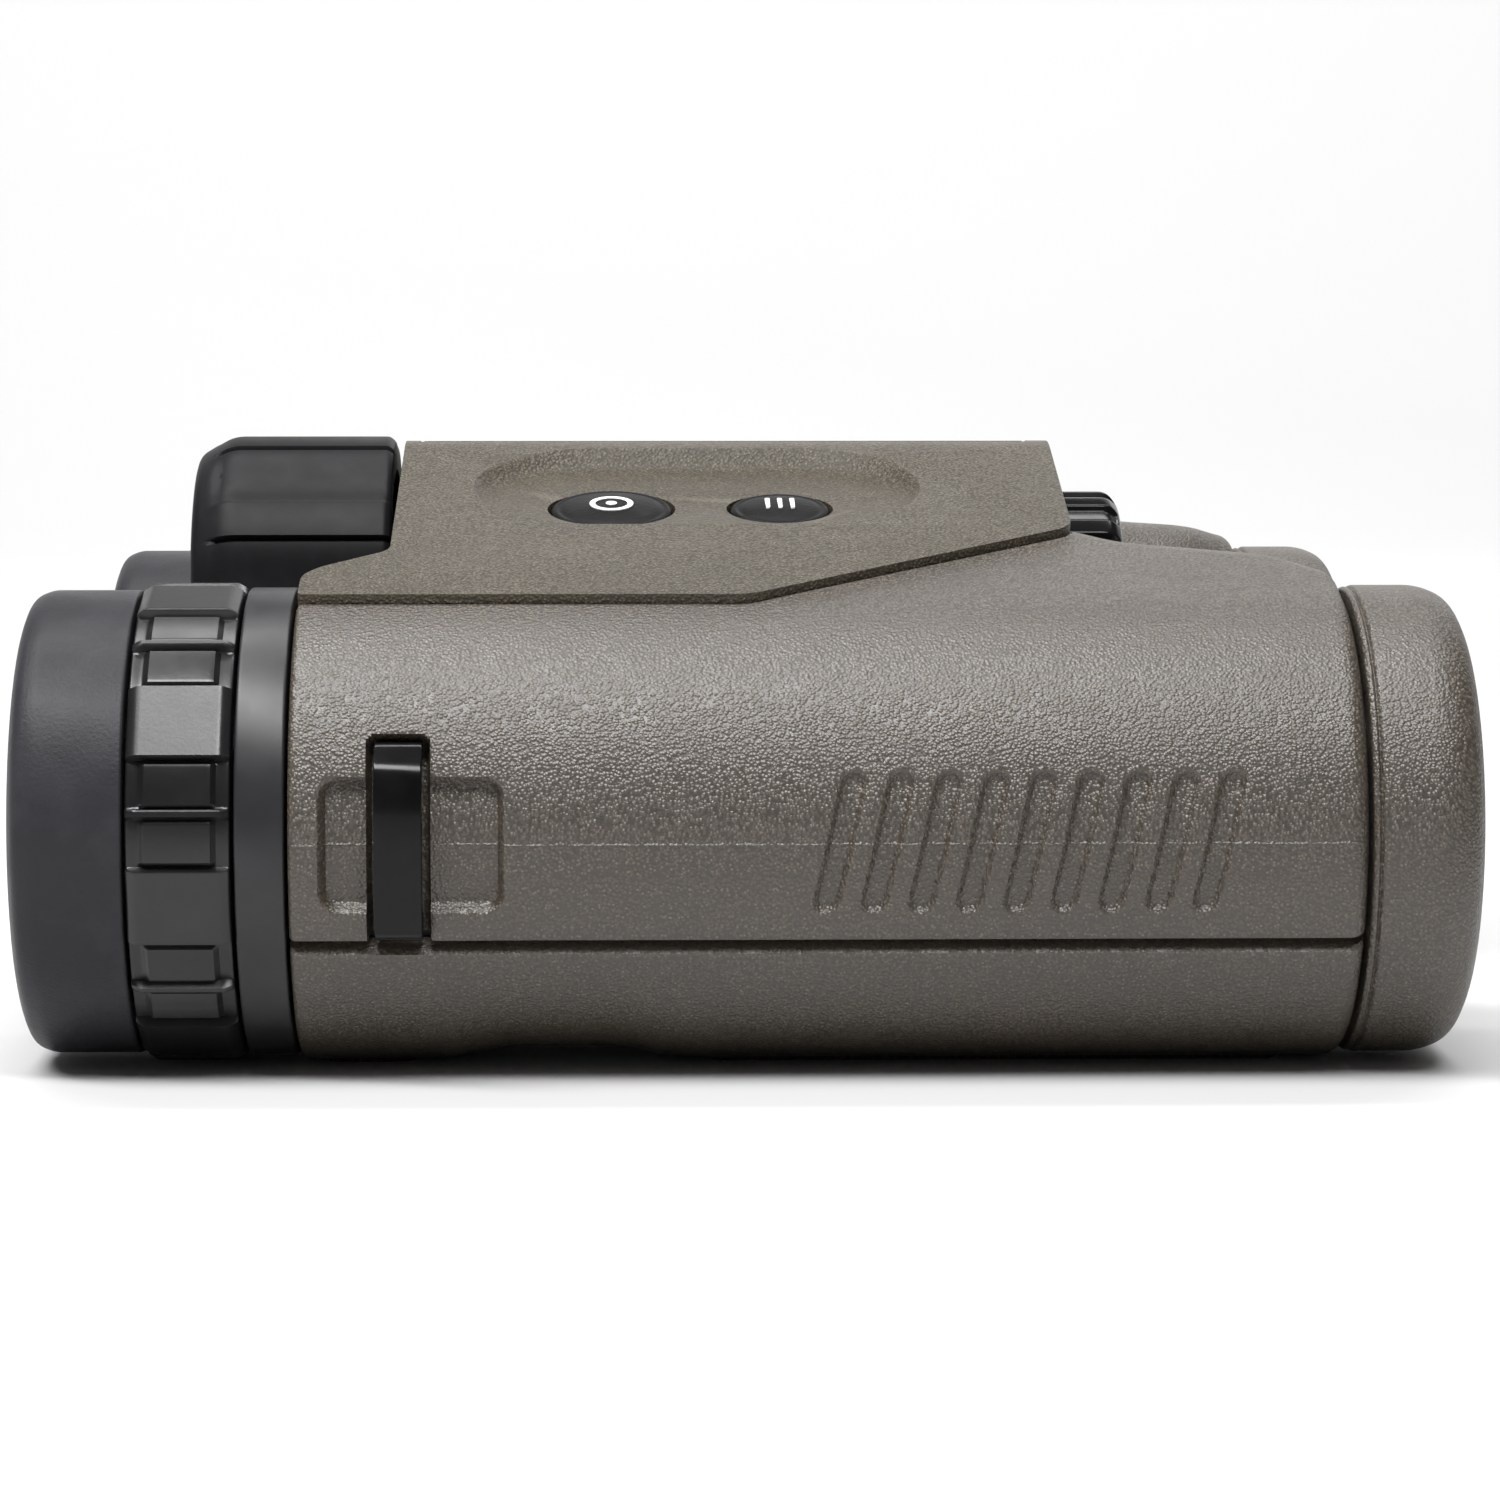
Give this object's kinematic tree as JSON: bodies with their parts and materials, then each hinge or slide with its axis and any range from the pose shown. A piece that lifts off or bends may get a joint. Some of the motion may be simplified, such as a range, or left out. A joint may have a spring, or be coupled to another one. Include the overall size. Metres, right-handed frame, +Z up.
{
  "type": "rangefinding binocular",
  "caption": "Compact hinged binocular with a built-in laser rangefinder: armoured barrels, focus wheel, twist-up eyecups, control buttons and a battery tube in the hinge.",
  "frame": {"origin": "under the middle of the object, on the surface it rests on", "axes": "+X forward to the objectives along the barrel axes, +Y to the user's left, +Z up"},
  "size_m": [0.1222, 0.1152, 0.0528],
  "materials": {
    "armour_rubber": "pebbled matte, olive brown",
    "cover_rubber": "pebbled matte, olive brown",
    "eyecup_rubber": "smooth matte black",
    "satin_black": "satin black",
    "collar_metal": "satin black paint",
    "gloss_black": "glossy black",
    "button_rubber": "fine-grained black",
    "chassis_metal": "black anodised",
    "optical_glass": "coated optical glass",
    "circuit_board": "green solder mask",
    "steel": "machined",
    "brass": "machined",
    "battery_wrap": "plain shrink wrap",
    "seal_rubber": "plain"
  },
  "bodies": {
    "right_barrel": {"right_chassis": "chassis_metal", "right_upper_armour": "armour_rubber", "right_lower_armour": "armour_rubber", "right_strap_bar": "gloss_black", "right_objective_ring": "armour_rubber", "right_objective_retainer": "satin_black", "right_objective_lens": "optical_glass", "right_front_prism": "optical_glass", "right_rear_prism": "optical_glass", "right_eyepiece_barrel": "collar_metal", "control_cover": "cover_rubber", "button_board": "circuit_board", "display_module": "chassis_metal", "hinge_tube": "steel", "battery_spring": "steel"},
    "left_barrel": {"left_chassis": "chassis_metal", "left_upper_armour": "armour_rubber", "left_lower_armour": "armour_rubber", "left_strap_bar": "gloss_black", "left_objective_ring": "armour_rubber", "left_objective_retainer": "satin_black", "left_objective_lens": "optical_glass", "left_front_prism": "optical_glass", "left_rear_prism": "optical_glass", "left_eyepiece_barrel": "collar_metal", "bridge_cover": "cover_rubber", "main_board": "circuit_board", "laser_module": "steel"},
    "focus_wheel_set": {"focus_wheel": "satin_black", "focus_screw": "steel"},
    "focus_carriage_set": {"focus_carriage": "brass"},
    "right_focus_set": {"right_focus_cell": "chassis_metal", "right_focus_lens": "optical_glass"},
    "left_focus_set": {"left_focus_cell": "chassis_metal", "left_focus_lens": "optical_glass"},
    "range_button_set": {"range_button": "button_rubber"},
    "mode_button_set": {"mode_button": "button_rubber"},
    "battery_cap_slide_set": {"battery_cap_seal": "seal_rubber"},
    "battery_cap_set": {"battery_cap": "gloss_black"},
    "battery_set": {"battery": "battery_wrap"},
    "right_diopter_set": {"right_diopter_ring": "satin_black"},
    "right_ocular_set": {"right_ocular_cell": "chassis_metal", "right_eye_lens": "optical_glass"},
    "right_eyecup_lift_set": {"right_eyecup_sleeve": "chassis_metal"},
    "right_eyecup_set": {"right_eyecup": "eyecup_rubber"},
    "left_diopter_set": {"left_diopter_ring": "satin_black"},
    "left_ocular_set": {"left_ocular_cell": "chassis_metal", "left_eye_lens": "optical_glass"},
    "left_eyecup_lift_set": {"left_eyecup_sleeve": "chassis_metal"},
    "left_eyecup_set": {"left_eyecup": "eyecup_rubber"}
  },
  "joints": [
    {"name": "interpupillary_hinge", "type": "hinge", "parent": "right_barrel", "child": "left_barrel", "pos_m": [0, 0, 0.03755], "axis": [-1, 0, 0], "range_deg": [-7.4, 40]},
    {"name": "focus_wheel_turn", "type": "hinge", "parent": "right_barrel", "child": "focus_wheel_set", "pos_m": [0, 0, 0.03755], "axis": [1, 0, 0], "range_deg": [-180, 180]},
    {"name": "focus_carriage_slide", "type": "slide", "parent": "right_barrel", "child": "focus_carriage_set", "axis": [1, 0, 0], "range_m": [-0.0018, 0.0018]},
    {"name": "right_focus_slide", "type": "slide", "parent": "right_barrel", "child": "right_focus_set", "axis": [1, 0, 0], "range_m": [-0.0018, 0.0018]},
    {"name": "left_focus_slide", "type": "slide", "parent": "left_barrel", "child": "left_focus_set", "axis": [1, 0, 0], "range_m": [-0.0018, 0.0018]},
    {"name": "range_button_press", "type": "slide", "parent": "right_barrel", "child": "range_button_set", "axis": [0, 0.2756, -0.9613], "range_m": [0, 0.0006], "stiffness_N_per_m": 1500, "springref_m": -0.0006},
    {"name": "mode_button_press", "type": "slide", "parent": "right_barrel", "child": "mode_button_set", "axis": [0, 0.2756, -0.9613], "range_m": [0, 0.0006], "stiffness_N_per_m": 1500, "springref_m": -0.0006},
    {"name": "battery_cap_pull", "type": "slide", "parent": "right_barrel", "child": "battery_cap_slide_set", "axis": [1, 0, 0], "range_m": [0, 0.04]},
    {"name": "battery_cap_turn", "type": "hinge", "parent": "battery_cap_slide_set", "child": "battery_cap_set", "pos_m": [0, 0, 0.03755], "axis": [1, 0, 0], "range_deg": [0, 90]},
    {"name": "battery_pull", "type": "slide", "parent": "right_barrel", "child": "battery_set", "axis": [1, 0, 0], "range_m": [0, 0.028]},
    {"name": "right_diopter_turn", "type": "hinge", "parent": "right_barrel", "child": "right_diopter_set", "pos_m": [0, -0.036, 0.02055], "axis": [1, 0, 0], "range_deg": [-30, 30]},
    {"name": "right_ocular_slide", "type": "slide", "parent": "right_barrel", "child": "right_ocular_set", "axis": [1, 0, 0], "range_m": [-0.0011, 0.0011]},
    {"name": "right_eyecup_lift", "type": "slide", "parent": "right_barrel", "child": "right_eyecup_lift_set", "axis": [-1, 0, 0], "range_m": [0, 0.0065]},
    {"name": "right_eyecup_turn", "type": "hinge", "parent": "right_eyecup_lift_set", "child": "right_eyecup_set", "pos_m": [0, -0.036, 0.02055], "axis": [1, 0, 0], "range_deg": [0, 110]},
    {"name": "left_diopter_turn", "type": "hinge", "parent": "left_barrel", "child": "left_diopter_set", "pos_m": [0, 0.036, 0.02055], "axis": [1, 0, 0], "range_deg": [-30, 30]},
    {"name": "left_ocular_slide", "type": "slide", "parent": "left_barrel", "child": "left_ocular_set", "axis": [1, 0, 0], "range_m": [-0.0011, 0.0011]},
    {"name": "left_eyecup_lift", "type": "slide", "parent": "left_barrel", "child": "left_eyecup_lift_set", "axis": [-1, 0, 0], "range_m": [0, 0.0065]},
    {"name": "left_eyecup_turn", "type": "hinge", "parent": "left_eyecup_lift_set", "child": "left_eyecup_set", "pos_m": [0, 0.036, 0.02055], "axis": [1, 0, 0], "range_deg": [0, 110]}
  ],
  "couplings": [
    {"joint": "focus_carriage_slide", "follows": "focus_wheel_turn", "m_per_rad": 0.0005},
    {"joint": "right_focus_slide", "follows": "focus_wheel_turn", "m_per_rad": 0.0005},
    {"joint": "left_focus_slide", "follows": "focus_wheel_turn", "m_per_rad": 0.0005},
    {"joint": "battery_pull", "follows": "battery_cap_pull", "ratio": 0.65},
    {"joint": "right_ocular_slide", "follows": "right_diopter_turn", "m_per_rad": 0.002},
    {"joint": "right_eyecup_lift", "follows": "right_eyecup_turn", "m_per_rad": 0.0033},
    {"joint": "left_ocular_slide", "follows": "left_diopter_turn", "m_per_rad": 0.002},
    {"joint": "left_eyecup_lift", "follows": "left_eyecup_turn", "m_per_rad": 0.0033}
  ]
}
